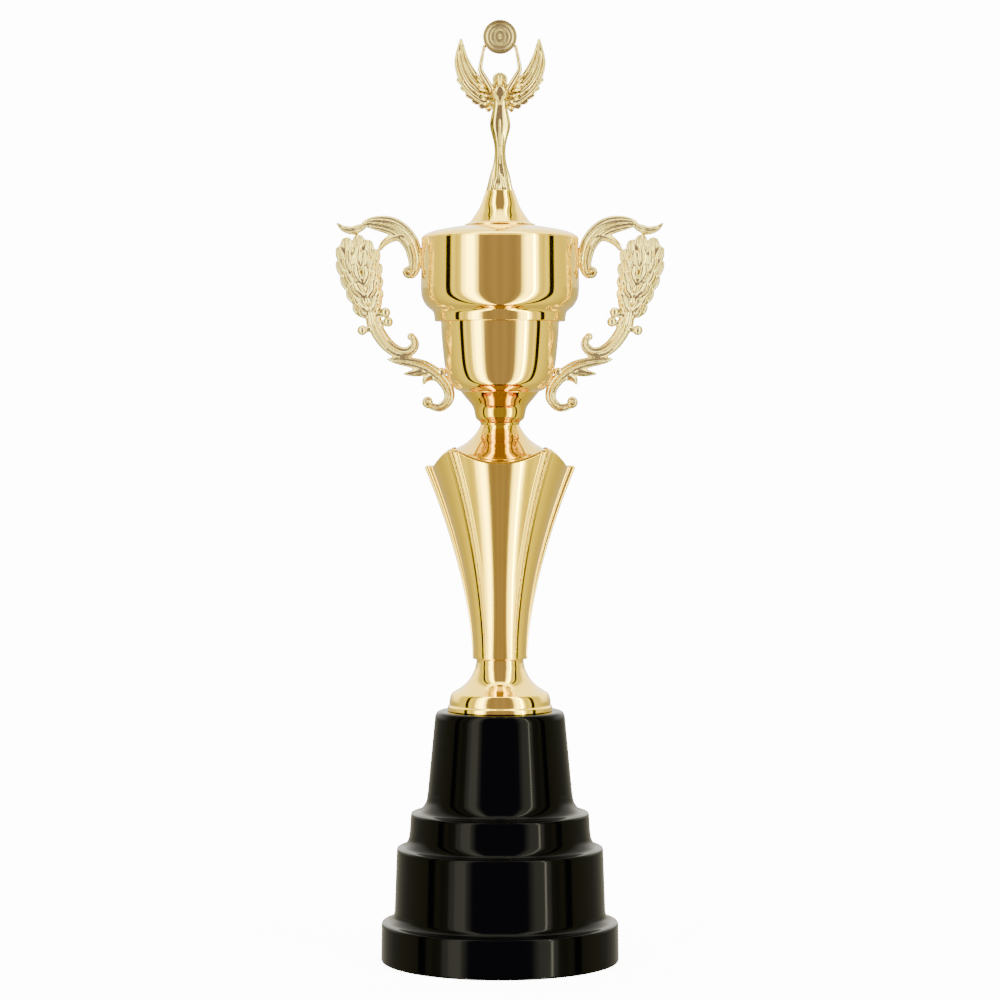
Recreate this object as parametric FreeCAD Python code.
import FreeCAD, Part
import math
import os

# A lidded cup trophy. Millimetres, +Z up. The origin is the middle of the underside of the base,
# +X runs to the right-hand handle and the front of the trophy faces -Y.

# ---------------------------------------------------------------- base
BASE_TIERS = (
    # radius at the foot of the wall, radius at its head, height of its foot, height of its head
    (105.5, 105.0, 0.0, 33.0),
    (93.5, 91.5, 44.0, 99.0),
    (80.0, 79.0, 115.0, 130.0),
    (64.0, 58.0, 150.0, 213.0),
)
TIER_CORNER = 2.0
BASE_HEIGHT = 222.0
DECK_RADIUS = 53.5
BASE_WALL = 3.0
COVER_BOTTOM = 2.5
COVER_THICKNESS = 3.0
COVER_TOP = COVER_BOTTOM + COVER_THICKNESS
COVER_RADIUS = 102.0
POST_CIRCLE = 96.0
POST_RADIUS = 5.0
POST_TOP = 40.0
COVER_SCREW_RADIUS = 1.5
COVER_SCREW_LENGTH = 14.0
BALLAST_RADIUS = 84.0
BALLAST_THICKNESS = 12.0

# ---------------------------------------------------------------- tie rod, an M6 through the stack
ROD_RADIUS = 3.0
ROD_HOLE = 3.3
ROD_BOTTOM = 206.0
WASHER_RADIUS = 14.0
WASHER_THICKNESS = 2.0
NUT_FLATS = 10.0
NUT_HEIGHT = 5.0
ROD_STICK_OUT = 3.0

# ---------------------------------------------------------------- column
FOOT_RADIUS = 46.5
FOOT_NECK = 21.0
COLUMN_BOTTOM = 268.0
COLUMN_FOOT_RADIUS = 24.3
COLUMN_SHOULDER = 436.0
COLUMN_SPREAD = 42.0
COLUMN_FLARE_POWER = 1.65
COLUMN_WALL = 2.5
COLUMN_TOP = 456.0
RIB_AZIMUTHS = (34.0, 90.0, 146.0, 214.0, 270.0, 326.0)
RIB_WIDTH = 7.0
RIB_PROUD_FOOT = 1.0
RIB_PROUD_HEAD = 5.5
CROWN_TIP_X = 39.0
CROWN_TIP_Z = 454.5
CROWN_DIP_Z = 443.0
CROWN_SIDE_Z = 439.0
NECK_BOTTOM = 436.0
NECK_RIM_RADIUS = 58.0
NECK_RIM_Z = 440.0
NECK_RIM_BEVEL = 3.0
NECK_TOP = 475.0
NECK_TOP_RADIUS = 17.3
TRIM_WALL = 2.5

# ---------------------------------------------------------------- cup
CUP_BOTTOM = 504.0
CUP_SEAT_RADIUS = 34.5
CUP_WALL = 2.0
BOWL_SPLIT = 566.0
BOWL_SPLIT_RADIUS = 52.2
COLLAR_RADIUS = 50.0
BAND_RADIUS = 57.5
CUP_RADIUS = 69.8
RIM_RADIUS = 69.2
RIM_Z = 639.0

# ---------------------------------------------------------------- handles
HANDLE_THICKNESS = 9.0
HANDLE_SCREW_RADIUS = 1.5
HANDLE_SCREW_HOLE = 1.6
HANDLE_SCREW_HEAD = 2.8
HANDLE_SCREW_GRIP = 14.0
HANDLE_WASHER_THICKNESS = 1.0
# height of each fixing, and the distance from the axis to the flat of its washer
HANDLE_FIXINGS = ((622.0, 67.0), (522.0, 43.8))

# ---------------------------------------------------------------- lid and figure
LID_RADIUS = 69.0
LID_WALL = 2.0
SPIGOT_RADIUS = 66.5
SPIGOT_DEPTH = 7.0
CROWN_Z = 650.5
RISER_FOOT_RADIUS = 31.0
RISER_TOP = 681.0
RISER_TOP_RADIUS = 13.0
FIGURE_SCREW_RADIUS = 1.9
FIGURE_SCREW_HOLE = 2.1
FIGURE_SCREW_END = 697.0
HEAD_CENTRE = 778.5
HEAD_WIDTH = 10.8
HEAD_HEIGHT = 14.0
NECK_RADIUS = 2.6
SHOULDER = (7.0, 769.0)
ELBOW = (17.0, 790.0)
HAND = (13.6, 806.0)
MEDAL_CENTRE = 816.0
MEDAL_RADIUS = 15.0
MEDAL_THICKNESS = 4.4
INSERT_RADIUS = 12.5
INSERT_THICKNESS = 1.2
INSERT_GAP = 0.1
WING_THICKNESS = 3.0
WING_Y = 2.0

UP = FreeCAD.Vector(0, 0, 1)
AXIS = FreeCAD.Vector(0, 0, 0)


# ---------------------------------------------------------------- helpers
def point(x, z):
    return FreeCAD.Vector(x, 0, z)


def outline_face(outline):
    """A face in the XZ plane. The outline starts at a point. After it, a point draws a line, a list
    of two points draws an arc through the first to the second, and a longer list a smooth curve."""
    here = outline[0]
    edges = []
    for step in outline[1:]:
        if isinstance(step, tuple):
            edges.append(Part.makeLine(point(*here), point(*step)))
            here = step
            continue
        if len(step) == 2:
            edges.append(Part.Arc(point(*here), point(*step[0]), point(*step[1])).toShape())
        else:
            curve = Part.BSplineCurve()
            curve.interpolate([point(*here)] + [point(*place) for place in step])
            edges.append(curve.toShape())
        here = step[-1]
    edges.append(Part.makeLine(point(*here), point(*outline[0])))
    return Part.Face(Part.Wire(edges))


def lathe(outline):
    """The outline turned once round the vertical axis."""
    return outline_face(outline).revolve(AXIS, UP, 360)


def moved(outline, inward, upward):
    """The outline moved towards the axis and along it, never past the axis."""
    def move(place):
        return max(place[0] - inward, 0.0), place[1] + upward
    return [move(step) if isinstance(step, tuple) else [move(place) for place in step]
            for step in outline]


def shell(outline, wall, upward):
    """The turned outline, hollowed from its open end: upward is the wall for a bowl, or minus the
    wall for a dome."""
    return lathe(outline).cut(lathe(moved(outline, wall, upward)))


def disc(radius, bottom, thickness, hole=0.0):
    whole = Part.makeCylinder(radius, thickness, point(0, bottom))
    if hole:
        whole = whole.cut(Part.makeCylinder(hole, thickness, point(0, bottom)))
    return whole


def bored(solid, hole, bottom, top):
    return solid.cut(Part.makeCylinder(hole, top - bottom, point(0, bottom)))


def hexagon_nut(bottom):
    corner = NUT_FLATS / math.sqrt(3)
    ring = [FreeCAD.Vector(corner * math.cos(math.radians(60 * turn)),
                           corner * math.sin(math.radians(60 * turn)), bottom) for turn in range(7)]
    body = Part.Face(Part.makePolygon(ring)).extrude(UP * NUT_HEIGHT)
    return bored(body, ROD_RADIUS, bottom, bottom + NUT_HEIGHT)


def ball(x, z, radius):
    return Part.makeSphere(radius, point(x, z))


def stroke_width(along, root, belly, tip, belly_at):
    """Width of a leaf or stem: it swells from its root to its belly and narrows to its tip."""
    if along < belly_at:
        ease = math.sin(0.5 * math.pi * along / belly_at)
        return root + (belly - root) * ease
    ease = math.cos(0.5 * math.pi * (along - belly_at) / (1.0 - belly_at))
    return tip + (belly - tip) * ease


def stroke_face(centreline, root, belly, tip, belly_at=0.5):
    """A flat leaf or stem in the XZ plane, with its width set off square to a smooth centreline."""
    curve = Part.BSplineCurve()
    curve.interpolate([point(*place) for place in centreline])
    stations = 4 * len(centreline)
    sides = ([], [])
    for station in range(stations + 1):
        along = station / stations
        at = curve.FirstParameter + along * (curve.LastParameter - curve.FirstParameter)
        half = 0.5 * stroke_width(along, root, belly, tip, belly_at)
        heading = curve.tangent(at)[0]
        across = FreeCAD.Vector(heading.z, 0, -heading.x) * half
        sides[0].append(curve.value(at) + across)
        sides[1].append(curve.value(at) - across)
    corners = sides[0] + sides[1][::-1]
    return Part.Face(Part.makePolygon(corners + corners[:1]))


def slab(faces, thickness, middle_y=0.0):
    """Overlapping flat faces made into one plate, its thickness centred on middle_y."""
    plates = [face.extrude(FreeCAD.Vector(0, thickness, 0)) for face in faces]
    plate = plates[0].multiFuse(plates[1:]).removeSplitter()
    plate.translate(FreeCAD.Vector(0, middle_y - 0.5 * thickness, 0))
    return plate


def mirrored(shape):
    return shape.mirror(AXIS, FreeCAD.Vector(1, 0, 0))


def along_x(radius, start, length, z):
    """A round bar that runs out from the axis towards +X."""
    return Part.makeCylinder(radius, length, point(start, z), FreeCAD.Vector(1, 0, 0))


# ---------------------------------------------------------------- base
def cove(start, end):
    """The hollow quarter between a ledge and the wall above it, as an arc."""
    slack = math.sqrt(0.5)
    middle = (start[0] + (end[0] - start[0]) * slack, end[1] + (start[1] - end[1]) * slack)
    return [middle, end]


def base_outline():
    outline = [(0, 0), (BASE_TIERS[0][0] - TIER_CORNER, 0),
               [(BASE_TIERS[0][0] - 0.3 * TIER_CORNER, 0.3 * TIER_CORNER),
                (BASE_TIERS[0][0], TIER_CORNER)]]
    for lower, upper in zip(BASE_TIERS, BASE_TIERS[1:]):
        head, top = lower[1], lower[3]
        ledge = (head - TIER_CORNER, top + TIER_CORNER)
        outline.append((head, top))
        outline.append([(head - 0.3 * TIER_CORNER, top + 0.7 * TIER_CORNER), ledge])
        outline.append(cove(ledge, (upper[0], upper[2])))
    head, top = BASE_TIERS[-1][1], BASE_TIERS[-1][3]
    outline.append((head, top))
    outline.append([(head - 1.3, top + 6.0), (DECK_RADIUS, BASE_HEIGHT)])
    outline.append((0, BASE_HEIGHT))
    return outline


def post_places():
    for turn in range(4):
        angle = math.radians(45 + 90 * turn)
        yield POST_CIRCLE * math.cos(angle), POST_CIRCLE * math.sin(angle)


def upright(radius, place, bottom, top):
    return Part.makeCylinder(radius, top - bottom, FreeCAD.Vector(place[0], place[1], bottom))


def base_shell():
    outside = lathe(base_outline())
    body = shell(base_outline(), BASE_WALL, -BASE_WALL)
    for place in post_places():
        body = body.fuse(upright(POST_RADIUS, place, COVER_TOP, POST_TOP).common(outside))
    for place in post_places():
        depth = COVER_SCREW_LENGTH + COVER_BOTTOM
        body = body.cut(upright(COVER_SCREW_RADIUS, place, COVER_TOP, depth))
    return bored(body, ROD_HOLE, ROD_BOTTOM, BASE_HEIGHT)


def base_cover():
    cover = disc(COVER_RADIUS, COVER_BOTTOM, COVER_THICKNESS)
    for place in post_places():
        cover = cover.cut(upright(COVER_SCREW_RADIUS, place, COVER_BOTTOM, COVER_TOP))
    return cover


def cover_screws():
    head_height = 1.6
    head_radius = 3.2
    screws = []
    for place in post_places():
        head = upright(head_radius, place, COVER_BOTTOM - head_height, COVER_BOTTOM)
        shank = upright(COVER_SCREW_RADIUS, place, COVER_BOTTOM, COVER_BOTTOM + COVER_SCREW_LENGTH)
        screws.append(head.fuse(shank))
    return Part.makeCompound(screws)


def ballast_plate():
    plate = disc(BALLAST_RADIUS, COVER_TOP, BALLAST_THICKNESS)
    return plate.makeChamfer(1.5, [edge for edge in plate.Edges if edge.Closed])


# ---------------------------------------------------------------- tie rod and its nuts
DECK_UNDERSIDE = BASE_HEIGHT - BASE_WALL
CUP_FLOOR = CUP_BOTTOM + CUP_WALL
CUP_NUT_BOTTOM = CUP_FLOOR + WASHER_THICKNESS
ROD_TOP = CUP_NUT_BOTTOM + NUT_HEIGHT + ROD_STICK_OUT


def tie_rod():
    return Part.makeCylinder(ROD_RADIUS, ROD_TOP - ROD_BOTTOM, point(0, ROD_BOTTOM))


def lower_washer():
    return disc(WASHER_RADIUS, DECK_UNDERSIDE - WASHER_THICKNESS, WASHER_THICKNESS, ROD_HOLE)


def lower_nut():
    return hexagon_nut(DECK_UNDERSIDE - WASHER_THICKNESS - NUT_HEIGHT)


def cup_washer():
    return disc(WASHER_RADIUS, CUP_FLOOR, WASHER_THICKNESS, ROD_HOLE)


def cup_nut():
    return hexagon_nut(CUP_NUT_BOTTOM)


# ---------------------------------------------------------------- column
def column_foot():
    flange_top = BASE_HEIGHT + 4.0
    outline = [(0, BASE_HEIGHT), (FOOT_RADIUS, BASE_HEIGHT), (FOOT_RADIUS, flange_top),
               (FOOT_RADIUS - 1.5, flange_top + 1.5),
               [(44.3, 235.0), (40.5, 239.0)],
               [(27.5, 249.5), (FOOT_NECK, 264.0)],
               (FOOT_NECK, COLUMN_BOTTOM), (0, COLUMN_BOTTOM)]
    body = shell(outline, TRIM_WALL, -TRIM_WALL)
    return bored(body, ROD_HOLE, BASE_HEIGHT, COLUMN_BOTTOM)


def rib_radius(z):
    """Distance from the axis to the crest of a rib."""
    rise = (z - COLUMN_BOTTOM) / (COLUMN_SHOULDER - COLUMN_BOTTOM)
    return COLUMN_FOOT_RADIUS + COLUMN_SPREAD * rise ** COLUMN_FLARE_POWER


def panel_radius(z):
    """Distance from the axis to the panels between the ribs."""
    rise = (z - COLUMN_BOTTOM) / (COLUMN_SHOULDER - COLUMN_BOTTOM)
    return rib_radius(z) - RIB_PROUD_FOOT - (RIB_PROUD_HEAD - RIB_PROUD_FOOT) * rise


def column_flare(radius_at):
    """Points up the flare, after its foot, for a radius given as a function of height."""
    steps = 8
    rise = (COLUMN_TOP - COLUMN_BOTTOM) / steps
    return [(radius_at(COLUMN_BOTTOM + rise * step), COLUMN_BOTTOM + rise * step)
            for step in range(1, steps + 1)]


def column_outline(radius_at):
    return [(0, COLUMN_BOTTOM), (radius_at(COLUMN_BOTTOM), COLUMN_BOTTOM),
            column_flare(radius_at), (0, COLUMN_TOP)]


def column_crown():
    """Everything below the column's crown: two faces with raised tips beside a shallow dip, and low
    sides, as one outline pushed through from front to back."""
    low = COLUMN_BOTTOM - 1.0
    side = 90.0
    half = [[(25.0, 446.5), (CROWN_TIP_X, CROWN_TIP_Z)],
            [(54.0, 448.5), (62.0, 440.5)],
            (side, CROWN_SIDE_Z), (side, low), (0, low)]
    right = outline_face([(0, CROWN_DIP_Z)] + half).extrude(FreeCAD.Vector(0, 2 * side, 0))
    right.translate(FreeCAD.Vector(0, -side, 0))
    return right.fuse(mirrored(right))


def column_rib(azimuth):
    """A radial fin from the axis out, whose crest follows the flare."""
    fin = outline_face(column_outline(rib_radius)).extrude(FreeCAD.Vector(0, RIB_WIDTH, 0))
    fin.translate(FreeCAD.Vector(0, -0.5 * RIB_WIDTH, 0))
    fin.rotate(AXIS, UP, azimuth - 90)
    return fin


def column_body():
    ribs = [column_rib(azimuth) for azimuth in RIB_AZIMUTHS]
    cavity = lathe(moved(column_outline(panel_radius), COLUMN_WALL, COLUMN_WALL))
    body = lathe(column_outline(panel_radius)).multiFuse(ribs).cut(cavity)
    return bored(body.common(column_crown()), ROD_HOLE, COLUMN_BOTTOM, COLUMN_TOP)


def column_neck():
    outline = [(0, NECK_BOTTOM), (NECK_RIM_RADIUS - NECK_RIM_BEVEL, NECK_BOTTOM),
               (NECK_RIM_RADIUS, NECK_RIM_Z),
               [(50.0, 447.5), (38.5, 454.0), (29.5, 459.5), (23.5, 465.0), (19.5, 470.5),
                (NECK_TOP_RADIUS, NECK_TOP)],
               (0, NECK_TOP)]
    body = shell(outline, TRIM_WALL, -TRIM_WALL)
    return bored(body, ROD_HOLE, NECK_BOTTOM, NECK_TOP)


# ---------------------------------------------------------------- cup
def cup_stem():
    outline = [(0, NECK_TOP), (NECK_TOP_RADIUS, NECK_TOP),
               [(21.5, 481.0), (24.0, 490.5), (31.0, 499.5), (CUP_SEAT_RADIUS, CUP_BOTTOM)],
               (0, CUP_BOTTOM)]
    body = shell(outline, TRIM_WALL, TRIM_WALL)
    return bored(body, ROD_HOLE, NECK_TOP, CUP_BOTTOM)


def lower_bowl_outline():
    return [(0, CUP_BOTTOM), (CUP_SEAT_RADIUS, CUP_BOTTOM),
            [(42.5, 509.5), (46.8, 518.0)],
            [(50.3, 539.0), (BOWL_SPLIT_RADIUS, BOWL_SPLIT)],
            (0, BOWL_SPLIT)]


def cup_lower_bowl():
    collar_bottom = BOWL_SPLIT - 8.0
    collar_height = 13.0
    body = shell(lower_bowl_outline(), CUP_WALL, CUP_WALL)
    collar = disc(COLLAR_RADIUS, collar_bottom, collar_height, COLLAR_RADIUS - CUP_WALL)
    return bored(body.fuse(collar), ROD_HOLE, CUP_BOTTOM, CUP_FLOOR)


def upper_bowl_outline():
    return [(0, BOWL_SPLIT), (BAND_RADIUS, BOWL_SPLIT), (BAND_RADIUS + 0.5, BOWL_SPLIT + 4.5),
            (BAND_RADIUS + 2.5, BOWL_SPLIT + 9.5),
            [(67.3, 583.0), (CUP_RADIUS, 595.0)],
            (RIM_RADIUS, RIM_Z), (0, RIM_Z)]


def cup_upper_bowl():
    body = shell(upper_bowl_outline(), CUP_WALL, CUP_WALL)
    return bored(body, COLLAR_RADIUS + 0.3, BOWL_SPLIT, BOWL_SPLIT + CUP_WALL)


def with_handle_holes(bowl):
    """The bowl with a hole through its wall for the screw of each handle."""
    for z, washer_x in HANDLE_FIXINGS:
        drill = along_x(HANDLE_SCREW_HOLE, washer_x - 5.0, 10.0, z)
        bowl = bowl.cut(drill).cut(mirrored(drill))
    return bowl


# ---------------------------------------------------------------- handles
def right_handle():
    """The right-hand casting: a crest leaf at the rim, an acanthus leaf hanging from it, a stem that
    hooks back, and a lower leaf that curls in under the cup."""
    crest = stroke_face([(79, 611), (73, 618), (77, 635), (92, 647), (112, 653), (130, 648),
                         (143, 652)], 7, 17, 2, 0.5)
    tendril = stroke_face([(83, 636), (95, 638), (107, 628)], 8, 8, 3)
    acanthus = stroke_face([(111, 562), (116, 585), (125, 612), (131, 645)], 12, 34, 12, 0.62)
    stem = stroke_face([(112, 568), (106, 552), (93, 540), (80, 537), (74, 545), (78, 552)],
                       12, 11, 4)
    curl = stroke_face([(99, 535), (82, 531), (62, 524), (48, 511), (47, 497), (55, 489),
                        (62, 493)], 3, 11, 5)
    second_leaf = stroke_face([(86, 519), (71, 523), (56, 519)], 2, 8, 6)
    third_leaf = stroke_face([(68, 508), (62, 515), (52, 515)], 2, 7, 6)
    twigs = [stroke_face(line, 5, 5, 3) for line in ([(114, 574), (107, 576), (99, 576)],
                                                     [(113, 566), (106, 565), (99, 566)],
                                                     [(110, 562), (115, 559), (121, 558)])]
    faces = [crest, tendril, acanthus, stem, curl, second_leaf, third_leaf] + twigs
    balls = (ball(79.5, 612, 5.3), ball(63, 496, 5.2), ball(78.5, 553, 4.2),
             ball(99, 576, 4.4), ball(99, 566, 4.4), ball(121, 558, 4.4))
    handle = slab(faces, HANDLE_THICKNESS).multiFuse(balls)
    for bowl in (lower_bowl_outline(), upper_bowl_outline()):
        handle = handle.cut(lathe(bowl))
    for z, washer_x in HANDLE_FIXINGS:
        handle = handle.cut(along_x(HANDLE_SCREW_RADIUS, washer_x, HANDLE_SCREW_GRIP, z))
    return handle


def left_handle():
    return mirrored(right_handle())


def both_sides(solids):
    return Part.makeCompound(solids + [mirrored(solid) for solid in solids])


def handle_screws():
    head_height = 2.0
    screws = []
    for z, washer_x in HANDLE_FIXINGS:
        seat = washer_x - HANDLE_WASHER_THICKNESS
        head = along_x(HANDLE_SCREW_HEAD, seat - head_height, head_height, z)
        grip = HANDLE_SCREW_GRIP + HANDLE_WASHER_THICKNESS
        screws.append(head.fuse(along_x(HANDLE_SCREW_RADIUS, seat, grip, z)))
    return both_sides(screws)


def handle_washers():
    washer_radius = 3.5
    washers = []
    for z, washer_x in HANDLE_FIXINGS:
        start = washer_x - HANDLE_WASHER_THICKNESS
        whole = along_x(washer_radius, start, HANDLE_WASHER_THICKNESS, z)
        washers.append(whole.cut(along_x(HANDLE_SCREW_HOLE, start, HANDLE_WASHER_THICKNESS, z)))
    return both_sides(washers)


# ---------------------------------------------------------------- lid
def lid_dome():
    outline = [(0, RIM_Z), (LID_RADIUS, RIM_Z), (LID_RADIUS, RIM_Z + 1.0),
               [(66.0, 642.5), (58.5, 645.5), (46.0, 648.0), (RISER_FOOT_RADIUS, CROWN_Z)],
               (0, CROWN_Z)]
    dome = shell(outline, LID_WALL, -LID_WALL)
    spigot = disc(SPIGOT_RADIUS, RIM_Z - SPIGOT_DEPTH, SPIGOT_DEPTH + 2.0,
                  SPIGOT_RADIUS - LID_WALL)
    return bored(dome.fuse(spigot), FIGURE_SCREW_HOLE, RIM_Z, CROWN_Z)


def lid_riser():
    outline = [(0, CROWN_Z), (RISER_FOOT_RADIUS, CROWN_Z), (RISER_FOOT_RADIUS, CROWN_Z + 1.0),
               (27.0, CROWN_Z + 2.5),
               [(23.0, 658.5), (18.0, 666.5), (14.8, 675.0), (RISER_TOP_RADIUS, RISER_TOP)],
               (0, RISER_TOP)]
    body = shell(outline, TRIM_WALL, -TRIM_WALL)
    return bored(body, FIGURE_SCREW_HOLE, CROWN_Z, RISER_TOP)


CROWN_UNDERSIDE = CROWN_Z - LID_WALL


def figure_washer():
    washer_radius = 7.0
    thickness = 1.0
    return disc(washer_radius, CROWN_UNDERSIDE - thickness, thickness, FIGURE_SCREW_HOLE)


def figure_screw():
    head_height = 2.5
    head_radius = 3.8
    seat = CROWN_UNDERSIDE - 1.0
    head = Part.makeCylinder(head_radius, head_height, point(0, seat - head_height))
    shank = Part.makeCylinder(FIGURE_SCREW_RADIUS, FIGURE_SCREW_END - seat, point(0, seat))
    return head.fuse(shank)


# ---------------------------------------------------------------- figure
def figure_gown():
    """The standing figure from the hem of its gown to its neck."""
    outline = [(0, RISER_TOP), (11.8, RISER_TOP), (11.3, 684.0),
               [(7.0, 694.0), (5.0, 709.0), (5.8, 724.0), (8.5, 739.0), (7.5, 748.0),
                (5.4, 755.5)],
               [(6.6, 762.0), (7.0, 767.0), (5.0, 771.0), (NECK_RADIUS + 0.3, 773.0)],
               (0, 773.0)]
    return lathe(outline)


def figure_head():
    half_height = 0.5 * HEAD_HEIGHT
    widest = 0.5 * HEAD_WIDTH
    head = lathe([(0, HEAD_CENTRE - half_height),
                  [(0.7 * widest, HEAD_CENTRE - 0.75 * half_height), (widest, HEAD_CENTRE),
                   (0.7 * widest, HEAD_CENTRE + 0.75 * half_height), (0, HEAD_CENTRE + half_height)]])
    neck = Part.makeCylinder(NECK_RADIUS, 6.0, point(0, HEAD_CENTRE - half_height - 2.0))
    return head.fuse(neck)


def limb(start, end, start_radius, end_radius):
    """A tapered round limb between two places in the XZ plane."""
    axis = point(*end) - point(*start)
    return Part.makeCone(start_radius, end_radius, axis.Length, point(*start), axis)


def figure_arm():
    upper_arm = limb(SHOULDER, ELBOW, 2.6, 2.1)
    forearm = limb(ELBOW, HAND, 2.1, 1.6)
    return upper_arm.multiFuse([forearm, ball(*SHOULDER, 2.8), ball(*ELBOW, 2.2), ball(*HAND, 2.9)])


def figure_wing():
    outer_feather = stroke_face([(8, 754), (24, 768), (35, 790), (36, 813)], 8, 13, 3)
    inner_feather = stroke_face([(5, 762), (19, 776), (28, 792), (30, 807)], 8, 10, 3)
    return slab((outer_feather, inner_feather), WING_THICKNESS, WING_Y)


def lying_disc(radius, front, back):
    """A disc that faces the front, centred on the medal."""
    return Part.makeCylinder(radius, back - front, FreeCAD.Vector(0, front, MEDAL_CENTRE),
                             FreeCAD.Vector(0, 1, 0))


def winged_figure():
    """One moulding: gown, head, raised arms, wings and the frame that the hands hold up."""
    arm = figure_arm()
    wing = figure_wing()
    half = 0.5 * MEDAL_THICKNESS
    frame = lying_disc(MEDAL_RADIUS, -half, half)
    body = figure_gown().fuse(figure_head())
    body = body.multiFuse([arm, mirrored(arm), wing, mirrored(wing), frame])
    for front in (-half, half - INSERT_THICKNESS):
        body = body.cut(lying_disc(INSERT_RADIUS, front, front + INSERT_THICKNESS))
    return bored(body, FIGURE_SCREW_HOLE, RISER_TOP, FIGURE_SCREW_END)


def medal_insert(front):
    return lying_disc(INSERT_RADIUS - INSERT_GAP, front, front + INSERT_THICKNESS)


def medal_insert_front():
    return medal_insert(-0.5 * MEDAL_THICKNESS)


def medal_insert_back():
    return medal_insert(0.5 * MEDAL_THICKNESS - INSERT_THICKNESS)


# ---------------------------------------------------------------- write every piece
PIECES = {
    "base_shell": base_shell,
    "base_cover": base_cover,
    "cover_screws": cover_screws,
    "ballast_plate": ballast_plate,
    "tie_rod": tie_rod,
    "lower_washer": lower_washer,
    "lower_nut": lower_nut,
    "column_foot": column_foot,
    "column_body": column_body,
    "column_neck": column_neck,
    "cup_stem": cup_stem,
    "cup_lower_bowl": lambda: with_handle_holes(cup_lower_bowl()),
    "cup_upper_bowl": lambda: with_handle_holes(cup_upper_bowl()),
    "cup_washer": cup_washer,
    "cup_nut": cup_nut,
    "left_handle": left_handle,
    "right_handle": right_handle,
    "handle_screws": handle_screws,
    "handle_washers": handle_washers,
    "lid_dome": lid_dome,
    "lid_riser": lid_riser,
    "winged_figure": winged_figure,
    "medal_insert_front": medal_insert_front,
    "medal_insert_back": medal_insert_back,
    "figure_screw": figure_screw,
    "figure_washer": figure_washer,
}

os.makedirs("parts", exist_ok=True)
for name, make in PIECES.items():
    shape = make()
    shape.exportStep(f"parts/{name}.step")
    print(f"{name}: {len(shape.Solids)} solids, valid {shape.isValid()}, {shape.Volume / 1000:.2f} cm3")
